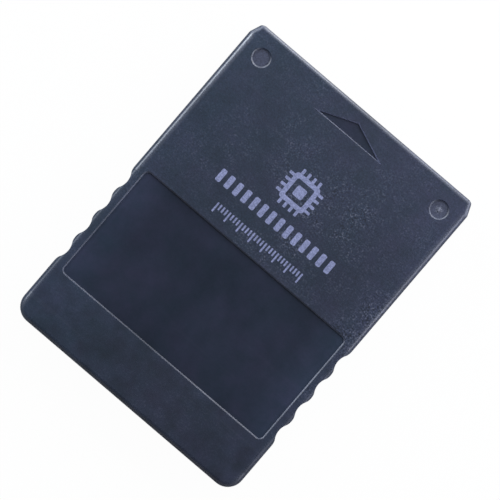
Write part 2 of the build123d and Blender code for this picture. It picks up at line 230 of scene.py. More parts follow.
# shells: one grained navy plastic with rubbed edges, painted highlights, painted light and painted shade,
# smooth in the label recess
shellFinish = {
    "teal": colour(0.0175, 0.0300, 0.0515),
    "plum": colour(0.0230, 0.0275, 0.0540),
    "smoothTeal": colour(0.0145, 0.0231, 0.0383),
    "smoothPlum": colour(0.0199, 0.0224, 0.0422),
    "dimple": colour(0.044, 0.051, 0.083),
    "gate": colour(0.150, 0.160, 0.205),
    # rim is a painted highlight colour for the rims that catch the light
    "rim": colour(0.050, 0.060, 0.100),
    # the lift colours are painted light for walls that face away from the lamps
    "paintedLift": colour(0.110, 0.122, 0.180),
    "arrowPaintedLift": colour(0.170, 0.190, 0.310),
    # edge is the pale of rubbed edges, partly a painted highlight
    "edge": colour(0.130, 0.140, 0.175),
    # fleck is the colour of painted glints and of pale scratches
    "fleck": colour(0.150, 0.160, 0.210),
    "pit": colour(0.010, 0.014, 0.026),
    "plumDrift": (-0.22, 0.22),  # left, right
    "grainSize": 0.16 * mm,
    "grainDepth": 0.008 * mm,
    "grainContrast": 0.26,
    "smoothGrain": 0.25,
    "gripEndGrain": 0.38,
    "smoothRelief": 0.06,
    "rimRelief": 0.3,
    "roughness": 0.52,
    "smoothRoughness": 0.31,
    "wallRoughness": 1.0,
    "smudgeRoughness": (-0.02, 0.03),
    # these polish values set both the rims' coat gloss and the painted highlight in their colour
    "leftPolishAndHighlight": (0.32, 0.85),  # grip end, connector end
    "leftPolishAndHighlightPower": 3.0,
    "rightPolishAndHighlight": (0.22, 0.30),
    "gripPolishAndHighlight": 0.35,
    "leadInPolishAndHighlight": 0.10,
    "leadInWear": (1.00, 0.60),  # where it starts, at its tip
    "recessSidePolishAndHighlight": 0.66,
    "recessEndPolishAndHighlight": (0.22, 0.40),  # left, right
    "recessEndDip": 0.72,
    "arrowPolishAndHighlight": (1.00, 0.68),
    "arrowSmooth": 0.65,
    "arrowPaintedLiftShare": (0.55, 1.0),
    "dimplePolishAndHighlight": 0.95,
    "dimpleTurn": (1.2, 0.7),
    "dimpleRubAndHighlight": 0.8,
    "connectorPolishAndHighlight": (0.76, 0.34),
    "connectorRubAndHighlight": 0.45,
    "connectorRubSpread": (1.0, 0.55),
    "frontPolishAndHighlightSteep": 0.25,
    "rimSpread": (0.65, 1.3),
    "paintedLiftShare": 0.35,
    "gripEndPaintedLift": 0.35,
    # painted shade: the grip end is darker
    "gripEndPaintedShade": 0.76,
    # painted light on the top right of the front
    "rightTopPaintedLight": 1.12,
    "paleTowardsSides": 1.20,
    # painted light on the recess floor near its side walls, against their shade
    "recessPaintedLight": (1.46, 1.30),  # towards the sides, along them
    "cloudShade": (0.87, 1.13),
    "mottleShade": (0.88, 1.12),
    "patchShade": (-0.09, 0.075),
    "recessPatches": 0.55,
    "gripEndPatches": 2.2,
    "fleckSpread": (0.52, 1.12),  # left, right
    "fleckTopFade": 0.45,
    "fleckGripEnd": 0.14,
    "fleckClouds": (0.45, 1.5),
    "paintedGlintShare": 0.50,
    "pitShare": 0.95,
    "hairlineShare": (0.01, 0.03),  # smooth, grained
}
shellLayout = {  # moulded features of the front; a start is measured from the connector edge
    "recessWidth": 38.6 * mm,
    "recessLength": 19.7 * mm,
    "recessStart": 27.15 * mm,
    "recessDepth": 0.48 * mm,  # reaches just below the floor
    "signDepth": 0.4 * mm,
    "floorsBelow": 0.1 * mm,
    "arrowHalf": 7.0 * mm,
    "arrowReach": 8.0 * mm,
    "arrowStart": 7.85 * mm,
    "signsAhead": 5.0 * mm,  # of the recess
    "dipX": -4.0 * mm,
    "gateX": 17.12 * mm,
    "gateStart": 3.96 * mm,
    "gateRadius": 0.5 * mm,
    "outerEdge": 19.7 * mm,  # the card's own side edges lie beyond it
    "connectorRubAndHighlight": (0.65 * mm, 0.25 * mm),  # from the connector edge
}
shellZones = {  # stretches of the front in millimetres from the card's middle, along or across it
    "dimpleAcross": (15, 19),
    "dimpleAlong": (21, 26),
    "leadInStart": (25.4, 26.0),
    "leadInRun": (25.8, 27.7),
    "leftClimb": (-24, 20),
    "rightClimb": (0, 12),
    "grips": (-24, -0.5),
    "recessEnd": (-16, 16),
    "recessEndDip": (0, 7),
    "arrowBase": (-7, 7),
    "arrowPaintedLift": (-4, 4),
    "signs": (10, 18),
    "connectorRim": (26.4, 27.0),
    "connectorAcross": (-18, 16),
    "connectorRubAcross": (-6, 14),
    "sideRubAndHighlight": (19.8, 20.45),
    "tealToPlum": (-20, 20),
    "gripEndRim": (-26, -20),
    "gripEnd": (-18, -21),
    "gripEndAcross": (-12, 0),
    "gripEndPatches": (-19.5, -17.5),
    "rightTop": (12, 22),
    "rightTopAcross": (0, 14),
    "paleTowardsSides": (14, 20.5),
    "recessPaintedLight": (14, 18),
    "recessSides": (18, 19.1),
    "grain": (-20, 0),
    "flecks": (-20, 4),
    "flecksAcross": (-15, 14),
    "flecksTop": (10, 24),
}
shellSlopes = {  # how level a surface is, 1 for level and 0 for upright, or which way it faces
    "sideTop": (0.995, 0.955),
    "sideSteep": (0.60, 0.80),
    "recessSteep": (0.50, 0.65),
    "frontTop": (0.93, 0.72),
    "frontSteep": (0.1, 0.6),
    "liftTop": (0.992, 0.93),
    "sideRubAndHighlight": (0.6, 0.75),
    "connectorRubAndHighlight": (0.45, 0.7),
    "leadInTop": (0.93, 0.78),
    "leadInSteep": (0.12, 0.30),
    "wall": (0.68, 0.50),
    "facesAhead": (0.5, 0.85),
    "facesAside": (-0.8, -0.3),
    "facesBack": (-0.3, -0.8),
    "dimpleTurn": (-0.6, 0.6),
}
recessTop = connectorEdge - shellLayout["recessStart"]


def zone(tree, value, name, low=0.0, high=1.0):  # ramp over a named stretch
    start, end = shellZones[name]
    return remap(tree, value, start * mm, end * mm, low, high)


def inZone(tree, value, name):
    start, end = shellZones[name]
    return within(tree, value, start * mm, end * mm)


def slope(tree, value, name, low=0.0, high=1.0):  # ramp over a named lean
    return remap(tree, value, *shellSlopes[name], low, high)


def cardPlace(tree):
    place, axes = coordinates(tree, "Object")
    span = calc(tree, "ABSOLUTE", axes["X"])
    outer = calc(tree, "GREATER_THAN", span, shellLayout["outerEdge"])
    dimples = product(tree, inZone(tree, span, "dimpleAcross"), inZone(tree, axes["Y"], "dimpleAlong"))
    leadIn = product(tree, outer, zone(tree, axes["Y"], "leadInStart"))
    masks = {"outer": outer, "dimples": dimples, "leadIn": leadIn}
    return {"all": place, "x": axes["X"], "y": axes["Y"], "z": axes["Z"], "span": span, **masks}


def surfaceLean(tree):  # how level a surface is, and which way it faces
    normal = coordinates(tree, "Normal")[1]
    flat = calc(tree, "ABSOLUTE", normal["Z"])
    spread = calc(tree, "SQRT", calc(tree, "SUBTRACT", 1.0001, calc(tree, "POWER", flat, 2.0)))
    heading = calc(tree, "DIVIDE", normal["Y"], spread)  # 1 faces the connector end, -1 the grip end
    ahead = slope(tree, heading, "facesAhead")
    sideways = calc(tree, "SUBTRACT", slope(tree, heading, "facesAside"), ahead)
    return {"normal": normal, "flat": flat, "heading": heading, "ahead": ahead, "sideways": sideways}


def sidePolishAndHighlight(tree, at, lean):  # how strongly the rims that face left or right shine: their coat's gloss and a painted highlight in their colour
    finish = shellFinish
    climb = calc(tree, "POWER", zone(tree, at["y"], "leftClimb"), finish["leftPolishAndHighlightPower"])
    left = between(tree, climb, *finish["leftPolishAndHighlight"])
    right = zone(tree, at["y"], "rightClimb", *finish["rightPolishAndHighlight"])
    right = mixValue(tree, at["outer"], finish["recessSidePolishAndHighlight"], right)
    polishAndHighlight = mixValue(tree, calc(tree, "GREATER_THAN", at["x"], 0.0), left, right)
    grips = product(tree, at["outer"], inZone(tree, at["y"], "grips"))
    polishAndHighlight = product(tree, polishAndHighlight, between(tree, grips, 1.0, finish["gripPolishAndHighlight"]))
    polishAndHighlight = product(tree, polishAndHighlight, between(tree, at["leadIn"], 1.0, finish["leadInPolishAndHighlight"]))
    turned = slope(tree, lean["normal"]["X"], "dimpleTurn", *finish["dimpleTurn"])
    return mixValue(tree, at["dimples"], polishAndHighlight, product(tree, turned, finish["dimplePolishAndHighlight"]))


def frontPolishAndHighlight(tree, at):  # how strongly the rims that face the connector end shine: coat gloss and a painted highlight
    finish = shellFinish
    recessEnd = zone(tree, at["x"], "recessEnd", *finish["recessEndPolishAndHighlight"])
    fromDip = calc(tree, "ABSOLUTE", calc(tree, "SUBTRACT", at["x"], shellLayout["dipX"]))
    recessEnd = product(tree, recessEnd, zone(tree, fromDip, "recessEndDip", finish["recessEndDip"], 1.0))
    arrow = zone(tree, at["x"], "arrowBase", *finish["arrowPolishAndHighlight"])
    signs = mixValue(tree, at["dimples"], arrow, finish["dimplePolishAndHighlight"])
    polishAndHighlight = mixValue(tree, zone(tree, at["y"], "signs"), recessEnd, signs)
    connector = zone(tree, at["x"], "connectorAcross", *finish["connectorPolishAndHighlight"])
    return mixValue(tree, zone(tree, at["y"], "connectorRim"), polishAndHighlight, connector)


def brightRims(tree, at, lean, polishAndHighlight, clouds):  # edges that catch the light: a coat, and a painted highlight in their colour
    finish = shellFinish
    flat = lean["flat"]
    steep = mixValue(tree, at["outer"], slope(tree, flat, "recessSteep"), slope(tree, flat, "sideSteep"))
    side = product(tree, slope(tree, flat, "sideTop"), steep, lean["sideways"], polishAndHighlight)
    steep = slope(tree, flat, "frontSteep", finish["frontPolishAndHighlightSteep"], 1.0)
    front = product(tree, slope(tree, flat, "frontTop"), steep, lean["ahead"], frontPolishAndHighlight(tree, at))
    uneven = remap(tree, clouds, 0.2, 0.8, *finish["rimSpread"])
    return product(tree, calc(tree, "ADD", side, front), uneven)


def paintedFillLight(tree, at, lean, tint):  # painted light on edges that face the grip end, away from the lamps, but not in the dimples; stronger on the arrow's walls
    finish = shellFinish
    back = product(tree, slope(tree, lean["flat"], "liftTop"), slope(tree, lean["heading"], "facesBack"))
    gripEnd = zone(tree, at["y"], "gripEndRim", finish["gripEndPaintedLift"], 1.0)
    back = product(tree, back, gripEnd, opposite(tree, at["dimples"]))
    ahead = calc(tree, "GREATER_THAN", at["y"], connectorEdge - shellLayout["arrowStart"])
    arrow = product(tree, ahead, calc(tree, "LESS_THAN", at["span"], shellLayout["arrowReach"]))
    others = product(tree, back, opposite(tree, arrow), finish["paintedLiftShare"])
    tint = mixColour(tree, others, tint, finish["paintedLift"])
    arrow = product(tree, arrow, zone(tree, at["x"], "arrowPaintedLift", *finish["arrowPaintedLiftShare"]))
    return mixColour(tree, product(tree, back, arrow), tint, finish["arrowPaintedLift"])


def rubbedEdgesAndHighlight(tree, at, lean, polishAndHighlight, rim):  # worn pale lines along the outer edges and round the dimples, partly a painted highlight where the rims face the lamps
    finish = shellFinish
    flat = lean["flat"]
    sides = product(tree, zone(tree, at["span"], "sideRubAndHighlight"), slope(tree, flat, "sideRubAndHighlight"), polishAndHighlight)
    tips = product(tree, at["leadIn"], slope(tree, flat, "leadInTop"), slope(tree, flat, "leadInSteep"))
    tips = product(tree, tips, zone(tree, at["y"], "leadInRun", *finish["leadInWear"]))
    start, end = (connectorEdge - inset for inset in shellLayout["connectorRubAndHighlight"])
    front = remap(tree, at["y"], start, end, 0.0, finish["connectorRubAndHighlight"])
    across = zone(tree, at["x"], "connectorRubAcross", *finish["connectorRubSpread"])
    front = product(tree, front, slope(tree, flat, "connectorRubAndHighlight"), across)
    rings = product(tree, at["dimples"], rim, finish["dimpleRubAndHighlight"])
    rubbed = sides
    for line in (tips, front, rings):
        rubbed = calc(tree, "MAXIMUM", rubbed, line)
    return product(tree, rubbed, calc(tree, "GREATER_THAN", lean["normal"]["Z"], 0.0))


def smoothFloors(tree, at):  # 1 on the recess floor, less on the arrow's, and a mask of the dimples
    layout = shellLayout
    half = layout["recessWidth"] / 2
    across = within(tree, at["x"], -half, half)
    along = within(tree, at["y"], recessTop - layout["recessLength"], recessTop)
    upper = cardFront - layout["floorsBelow"]
    deep = within(tree, at["z"], cardFront - layout["recessDepth"], upper)
    sunk = within(tree, at["z"], cardFront - layout["signDepth"], upper)
    sunk = product(tree, sunk, calc(tree, "GREATER_THAN", at["y"], recessTop + layout["signsAhead"]))
    middle = within(tree, at["x"], -layout["arrowHalf"], layout["arrowHalf"])
    arrow = product(tree, sunk, middle, shellFinish["arrowSmooth"])
    smooth = calc(tree, "MAXIMUM", product(tree, across, along, deep), arrow)
    return smooth, product(tree, sunk, opposite(tree, middle))


def gateSpot(tree, at, grain, dimple):  # ragged pale spot where the moulding gate was cut off
    radius = shellLayout["gateRadius"]
    gateY = connectorEdge - shellLayout["gateStart"]
    overX = calc(tree, "POWER", calc(tree, "SUBTRACT", at["x"], shellLayout["gateX"]), 2.0)
    overY = calc(tree, "POWER", calc(tree, "SUBTRACT", at["y"], gateY), 2.0)
    away = calc(tree, "SQRT", calc(tree, "ADD", overX, overY))
    ragged = remap(tree, grain["Height"], *mouldShape["heightRange"], -0.6 * radius, 0.6 * radius)
    return product(tree, dimple, remap(tree, calc(tree, "ADD", away, ragged), 1.1 * radius, 0.3 * radius))


def plasticTint(tree, at, grain, smooth, dimple):  # navy, from teal on the left to plum on the right
    finish = shellFinish
    drift = zone(tree, at["x"], "tealToPlum", *finish["plumDrift"])
    plumShare = calc(tree, "ADD", grain["Mottle"], drift, clamp=True)
    tint = mixColour(tree, plumShare, finish["teal"], finish["plum"])
    smoothTint = mixColour(tree, grain["Mottle"], finish["smoothTeal"], finish["smoothPlum"])
    tint = mixColour(tree, smooth, tint, smoothTint)
    return mixColour(tree, dimple, tint, finish["dimple"])


def toneWithPaintedLightAndShade(tree, at, grain, smooth):  # cloudy tone, painted shade at the grip end, painted light at the top right and along the recess sides, paler towards the side edges
    finish = shellFinish
    clouds = between(tree, grain["Clouds"], *finish["cloudShade"])
    mottle = between(tree, grain["Mottle"], *finish["mottleShade"])
    patches = between(tree, grain["Patches"], *finish["patchShade"])
    patches = product(tree, patches, mixValue(tree, smooth, 1.0, finish["recessPatches"]))
    patches = product(tree, patches, zone(tree, at["y"], "gripEndPatches", finish["gripEndPatches"], 1.0))
    shade = product(tree, clouds, mottle, calc(tree, "ADD", patches, 1.0))
    # painted light at the top right
    rightTop = product(tree, zone(tree, at["y"], "rightTop"), zone(tree, at["x"], "rightTopAcross"))
    shade = product(tree, shade, between(tree, rightTop, 1.0, finish["rightTopPaintedLight"]))
    # painted shade towards the grip end
    gripEnd = product(tree, zone(tree, at["y"], "gripEnd"), zone(tree, at["x"], "gripEndAcross"))
    shade = product(tree, shade, between(tree, gripEnd, 1.0, finish["gripEndPaintedShade"]))
    towardsSides, alongSides = finish["recessPaintedLight"]
    # the face grows paler towards the side edges
    face = zone(tree, at["span"], "paleTowardsSides", 1.0, finish["paleTowardsSides"])
    # painted light on the recess floor towards its side walls
    sunk = zone(tree, at["span"], "recessPaintedLight", 1.0, towardsSides)
    sunk = product(tree, sunk, zone(tree, at["span"], "recessSides", 1.0, alongSides))
    return product(tree, shade, mixValue(tree, smooth, face, sunk))


def speckle(tree, at, grain, marks, grained, tint):  # grain, painted glint flecks, pits and hairlines over a tint
    finish = shellFinish
    contrast = finish["grainContrast"]
    bumps = remap(tree, grain["Height"], *mouldShape["heightRange"], 1.0 + contrast, 1.0 - contrast)
    share = between(tree, grained, finish["smoothGrain"], 1.0)
    share = product(tree, share, zone(tree, at["y"], "grain", finish["gripEndGrain"], 1.0))
    tint = mixColour(tree, share, tint, shaded(tree, tint, bumps))
    upper = zone(tree, at["x"], "flecksAcross", *finish["fleckSpread"])
    upper = product(tree, upper, zone(tree, at["y"], "flecksTop", 1.0, finish["fleckTopFade"]))
    share = mixValue(tree, zone(tree, at["y"], "flecks"), finish["fleckGripEnd"], upper)
    share = product(tree, share, remap(tree, grain["Clouds"], 0.3, 0.8, *finish["fleckClouds"]), grained)
    # painted glints: pale flecks, gathered on the upper right
    tint = mixColour(tree, product(tree, grain["Flecks"], share, finish["paintedGlintShare"]), tint, finish["fleck"])
    tint = mixColour(tree, product(tree, grain["Pits"], share, finish["pitShare"]), tint, finish["pit"])
    scratches = product(tree, marks["Hairlines"], between(tree, grained, *finish["hairlineShare"]))
    return mixColour(tree, scratches, tint, finish["fleck"])


def makeShellPlastic():
    finish = shellFinish
    fixed = {"Specular IOR Level": 0.4, "Coat Roughness": 0.22, "Coat IOR": 2.1}
    material, tree, shader = newMaterial("shellPlastic", fixed)
    at = cardPlace(tree)
    lean = surfaceLean(tree)
    grain = useGroup(tree, mouldedGrain, {"Place": at["all"], "Grain Size": finish["grainSize"]})
    marks = useGroup(tree, handlingMarks, {"Place": at["all"]})
    smooth, dimple = smoothFloors(tree, at)
    grained = opposite(tree, smooth)
    polishAndHighlight = sidePolishAndHighlight(tree, at, lean)
    rim = brightRims(tree, at, lean, polishAndHighlight, grain["Clouds"])
    tint = plasticTint(tree, at, grain, smooth, dimple)
    # painted highlight: rims that catch the light are mixed towards a paler colour
    tint = mixColour(tree, rim, tint, finish["rim"])
    # painted light on edges and walls that face away from the lamps
    tint = paintedFillLight(tree, at, lean, tint)
    # rubbed pale edges, partly painted highlight
    tint = mixColour(tree, rubbedEdgesAndHighlight(tree, at, lean, polishAndHighlight, rim), tint, finish["edge"])
    tint = mixColour(tree, gateSpot(tree, at, grain, dimple), tint, finish["gate"])
    # cloudy tone with painted light and painted shade
    tint = shaded(tree, tint, toneWithPaintedLightAndShade(tree, at, grain, smooth))
    feed(tree, shader["Base Color"], speckle(tree, at, grain, marks, grained, tint))
    wall = product(tree, slope(tree, lean["flat"], "wall"), opposite(tree, lean["ahead"]))
    rough = mixValue(tree, smooth, finish["roughness"], finish["smoothRoughness"])
    rough = calc(tree, "ADD", rough, between(tree, marks["Smudge"], *finish["smudgeRoughness"]))
    feed(tree, shader["Roughness"], mixValue(tree, wall, rough, finish["wallRoughness"]))
    feed(tree, shader["Coat Weight"], rim)
    relief = between(tree, grained, finish["smoothRelief"], 1.0)
    relief = product(tree, relief, remap(tree, rim, 0.0, 0.4, 1.0, finish["rimRelief"]))
    height = product(tree, grain["Height"], relief)
    feed(tree, shader["Normal"], bumpFrom(tree, height, finish["grainDepth"]))
    return material


# board, contacts, chips and small parts
boardFinish = {
    "mask": colour(0.012, 0.075, 0.035),
    "track": colour(0.024, 0.120, 0.055),
    "edge": colour(0.240, 0.200, 0.095),
    "edgeFibre": colour(0.16, 0.13, 0.06),
    "trackPitch": 3.4 * mm,
    "trackWidth": 0.5 * mm,
    "trackHeight": 0.03 * mm,
    "smudgeShade": (0.85, 1.1),
    "roughness": (0.28, 0.42),
    "edgeRoughness": 0.8,
    "fibreScale": 2600.0,
    "weaveScale": 2200.0,
    "weaveShare": 0.08,
}


def makeBoardLaminate():
    finish = boardFinish
    material, tree, shader = newMaterial("boardLaminate")
    place, axes = coordinates(tree, "Object")
    halfPitch = finish["trackPitch"] / 2
    phase = calc(tree, "PINGPONG", calc(tree, "ADD", axes["X"], halfPitch), halfPitch)
    track = calc(tree, "LESS_THAN", phase, finish["trackWidth"] / 2)
    marks = useGroup(tree, handlingMarks, {"Place": place})
    tint = mixColour(tree, track, finish["mask"], finish["track"])
    tint = shaded(tree, tint, between(tree, marks["Smudge"], *finish["smudgeShade"]))
    upright = calc(tree, "ABSOLUTE", coordinates(tree, "Normal")[1]["Z"])
    cutEdge = calc(tree, "LESS_THAN", upright, 0.5)
    layers = {"Vector": place, "Scale": finish["fibreScale"], "Distortion": 3.0}
    fibres = addNode(tree, "ShaderNodeTexWave", layers, bands_direction="Z").outputs["Fac"]
    edgeTint = mixColour(tree, fibres, finish["edge"], finish["edgeFibre"])
    feed(tree, shader["Base Color"], mixColour(tree, cutEdge, tint, edgeTint))
    rough = between(tree, marks["Smudge"], *finish["roughness"])
    feed(tree, shader["Roughness"], mixValue(tree, cutEdge, rough, finish["edgeRoughness"]))
    weave = addNode(tree, "ShaderNodeTexChecker", {"Vector": place, "Scale": finish["weaveScale"]})
    height = calc(tree, "ADD", track, product(tree, weave.outputs["Fac"], finish["weaveShare"]))
    feed(tree, shader["Normal"], bumpFrom(tree, height, finish["trackHeight"]))
    return material


metalFinish = {
    "gold": colour(0.86, 0.58, 0.22),
    "goldWorn": colour(0.70, 0.52, 0.28),
    "goldRoughness": 0.36,
    "tin": colour(0.62, 0.62, 0.60),
    "tinDull": colour(0.38, 0.38, 0.38),
    "tinRoughness": 0.34,
    "smudgeRoughness": 0.18,
    "hairlineSize": 0.12 * mm,
    "hairlineShare": 0.6,
    "smudgeSize": 1.5 * mm,
    "grainSize": 0.06 * mm,
    "grainDepth": 0.002 * mm,
}


def makePlatedMetal(name, bright, dull, roughness):
    finish = metalFinish
    material, tree, shader = newMaterial(name, {"Metallic": 1.0})
    place = objectPlace(tree)
    sizes = {"Hairline Size": finish["hairlineSize"], "Smudge Size": finish["smudgeSize"]}
    marks = useGroup(tree, handlingMarks, {"Place": place, **sizes})
    grain = useGroup(tree, mouldedGrain, {"Place": place, "Grain Size": finish["grainSize"]})
    tint = mixColour(tree, marks["Smudge"], bright, dull)
    tint = mixColour(tree, product(tree, marks["Hairlines"], finish["hairlineShare"]), tint, dull)
    feed(tree, shader["Base Color"], tint)
    rough = between(tree, marks["Smudge"], roughness, roughness + finish["smudgeRoughness"])
    feed(tree, shader["Roughness"], rough)
    height = calc(tree, "SUBTRACT", grain["Height"], marks["Hairlines"])
    feed(tree, shader["Normal"], bumpFrom(tree, height, finish["grainDepth"]))
    return material


chipFinish = {
    "epoxy": colour(0.018, 0.018, 0.019),
    "filler": colour(0.075, 0.075, 0.075),
    "fillerShare": 0.6,
    "fillerSize": 0.3 * mm,
    "grainSize": 0.12 * mm,
    "grainDepth": 0.008 * mm,
    "roughness": (0.48, 0.62),
}


def makeChipEpoxy():
    finish = chipFinish
    material, tree, shader = newMaterial("chipEpoxy")
    sizes = {"Grain Size": finish["grainSize"], "Fleck Size": finish["fillerSize"]}
    grain = useGroup(tree, mouldedGrain, {"Place": objectPlace(tree), **sizes})
    filler = product(tree, grain["Flecks"], finish["fillerShare"])
    feed(tree, shader["Base Color"], mixColour(tree, filler, finish["epoxy"], finish["filler"]))
    feed(tree, shader["Roughness"], between(tree, grain["Mottle"], *finish["roughness"]))
    feed(tree, shader["Normal"], bumpFrom(tree, grain["Height"], finish["grainDepth"]))
    return material


smallParts = {
    "capacitor": colour(0.33, 0.22, 0.13),
    "resistor": colour(0.020, 0.020, 0.024),
    "capLength": 0.35 * mm,
    "grainSize": 0.08 * mm,
    "grainDepth": 0.004 * mm,
    "mottleShade": (0.85, 1.15),
    "roughness": (0.45, 0.30),  # body, end caps
}


def makeSmallPart(nodeName, body):
    finish = smallParts
    material, tree, shader = newMaterial(nodeName + "Finish")
    low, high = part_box(nodeName)
    place, axes = coordinates(tree, "Object")
    bodyRun = within(tree, axes["Y"], low.y + finish["capLength"], high.y - finish["capLength"])
    plated = opposite(tree, bodyRun)
    grain = useGroup(tree, mouldedGrain, {"Place": place, "Grain Size": finish["grainSize"]})
    bodyTint = shaded(tree, body, between(tree, grain["Mottle"], *finish["mottleShade"]))
    feed(tree, shader["Base Color"], mixColour(tree, plated, bodyTint, metalFinish["tin"]))
    feed(tree, shader["Metallic"], plated)
    feed(tree, shader["Roughness"], between(tree, plated, *finish["roughness"]))
    feed(tree, shader["Normal"], bumpFrom(tree, grain["Height"], finish["grainDepth"]))
    return material


resonatorFinish = {
    "dark": colour(0.10, 0.032, 0.020),
    "pale": colour(0.13, 0.045, 0.028),
    "grainSize": 0.1 * mm,
    "grainDepth": 0.006 * mm,
    "roughness": (0.35, 0.5),
}


def makeResonatorCan():
    finish = resonatorFinish
    material, tree, shader = newMaterial("resonatorCan")
    grain = useGroup(tree, mouldedGrain, {"Place": objectPlace(tree), "Grain Size": finish["grainSize"]})
    feed(tree, shader["Base Color"], mixColour(tree, grain["Mottle"], finish["dark"], finish["pale"]))
    feed(tree, shader["Roughness"], between(tree, grain["Mottle"], *finish["roughness"]))
    feed(tree, shader["Normal"], bumpFrom(tree, grain["Height"], finish["grainDepth"]))
    return material


def dress(nodeName, material):
    slots = nodes[nodeName].data.materials
    slots.clear()
    slots.append(material)


def dressNodes():
    metal = metalFinish
    plastic = makeShellPlastic()
    dress("front_shell", plastic)
    dress("rear_shell", plastic)
    dress("circuit_board", makeBoardLaminate())
    gold = makePlatedMetal("contactGold", metal["gold"], metal["goldWorn"], metal["goldRoughness"])
    tin = makePlatedMetal("leadTin", metal["tin"], metal["tinDull"], metal["tinRoughness"])
    epoxy = makeChipEpoxy()
    for name in sorted(nodes):
        if name.startswith("contact_"):
            dress(name, gold)
        elif name.endswith("_leads"):
            dress(name, tin)
        elif name.endswith("_chip"):
            dress(name, epoxy)
        elif name.startswith("capacitor_"):
            dress(name, makeSmallPart(name, smallParts["capacitor"]))
        elif name.startswith("resistor_"):
            dress(name, makeSmallPart(name, smallParts["resistor"]))
    dress("resonator", makeResonatorCan())
    print("materials: %d" % len(bpy.data.materials))


dressNodes()


# print on the front face: a chip pictogram over a row of cells and a fine scale
printInk = {
    "ink": colour(0.287, 0.311, 0.512),
    "thin": colour(0.15, 0.17, 0.285),
    "thinRange": (0.52, 0.95),
    "mottleShade": (0.92, 1.08),
    "roughness": (0.45, 0.6),
    "grainShare": 0.6,
    "film": 0.012 * mm,
    "sunk": 0.004 * mm,
    "weld": 0.001 * mm,
}
printStarts = {"print_chip": 15.35 * mm, "print_cells": 19.8 * mm, "print_scale": 24.1 * mm}  # from the edge
chipSign = {
    "Size": 4.6 * mm,
    "Stroke": 0.72 * mm,
    "Corner": 0.55 * mm,
    "Die": 1.7 * mm,
    "Pins": 4,
    "Pin Pitch": 1.02 * mm,
    "Pin Width": 0.46 * mm,
    "Pin Length": 0.9 * mm,
}
cellRow = {
    "Count": 14,
    "Pitch": 1.6 * mm,
    "Width": 0.86 * mm,
    "Height": 2.1 * mm,
    "Corner": 0.22 * mm,
    "Tall Every": 1,
    "Tall Scale": 1.0,
}
scaleRow = {
    "Count": 29,
    "Pitch": 0.575 * mm,
    "Width": 0.28 * mm,
    "Height": 0.95 * mm,
    "Corner": 0.07 * mm,
    "Tall Every": 4,
    "Tall Scale": 1.75,
}


def makePrintInk():
    finish = printInk
    material, tree, shader = newMaterial("printInk")
    sizes = {"Grain Size": shellFinish["grainSize"]}  # the ink lies on the shell's own grain
    grain = useGroup(tree, mouldedGrain, {"Place": objectPlace(tree), **sizes})
    worn = remap(tree, grain["Height"], *finish["thinRange"])
    tint = mixColour(tree, worn, finish["ink"], finish["thin"])
    tint = shaded(tree, tint, between(tree, grain["Mottle"], *finish["mottleShade"]))
    feed(tree, shader["Base Color"], tint)
    feed(tree, shader["Roughness"], between(tree, grain["Mottle"], *finish["roughness"]))
    depth = finish["grainShare"] * shellFinish["grainDepth"]
    feed(tree, shader["Normal"], bumpFrom(tree, grain["Height"], depth))
    return material


def signInputs(sizes):  # tree inputs named for a sign's own sizes
    inputs = [(name, "Int" if isinstance(size, int) else "Float", size) for name, size in sizes.items()]
    return inputs + [("Thickness", "Float"), ("Place", "Vector"), ("Ink", "Material")]


def joined(tree, *parts):
    join = addNode(tree, "GeometryNodeJoinGeometry")
    for part in parts:
        tree.links.new(part, join.inputs[0])
    return join.outputs[0]


def roundedPatch(tree, width, height, corner):  # closed curve of a rounded rectangle
    outline = addNode(tree, "GeometryNodeCurvePrimitiveQuadrilateral", {"Width": width, "Height": height})
    shape = {"Curve": outline.outputs[0], "Count": 4, "Radius": corner}
    return addNode(tree, "GeometryNodeFilletCurve", shape, mode="POLY").outputs[0]


def inkFilm(tree, curve, thickness):  # closed film of even thickness on a filled curve
    patch = addNode(tree, "GeometryNodeFillCurve", {"Curve": curve}).outputs[0]
    under = addNode(tree, "GeometryNodeFlipFaces", {"Mesh": patch}).outputs[0]
    offset = addNode(tree, "ShaderNodeCombineXYZ", {"Z": thickness}).outputs[0]
    raised = {"Mesh": patch, "Offset": offset, "Offset Scale": 1.0, "Individual": False}
    over = addNode(tree, "GeometryNodeExtrudeMesh", raised).outputs[0]
    closed = {"Geometry": joined(tree, under, over), "Distance": printInk["weld"]}
    return addNode(tree, "GeometryNodeMergeByDistance", closed).outputs[0]


def finishPrint(tree, geometry, place, ink):  # placed, made real and inked
    moved = addNode(tree, "GeometryNodeTransform", {"Geometry": geometry, "Translation": place})
    real = addNode(tree, "GeometryNodeRealizeInstances", {"Geometry": moved.outputs[0]})
    inked = addNode(tree, "GeometryNodeSetMaterial", {"Geometry": real.outputs[0], "Material": ink})
    return inked.outputs[0]


def centredLine(tree, count, pitch, y):  # points in a row across the card
    start = product(tree, calc(tree, "SUBTRACT", count, 1.0), pitch, -0.5)
    first = addNode(tree, "ShaderNodeCombineXYZ", {"X": start, "Y": y}).outputs[0]
    step = addNode(tree, "ShaderNodeCombineXYZ", {"X": pitch}).outputs[0]
    row = {"Count": count, "Start Location": first, "Offset": step}
    return addNode(tree, "GeometryNodeMeshLine", row, mode="OFFSET").outputs[0]


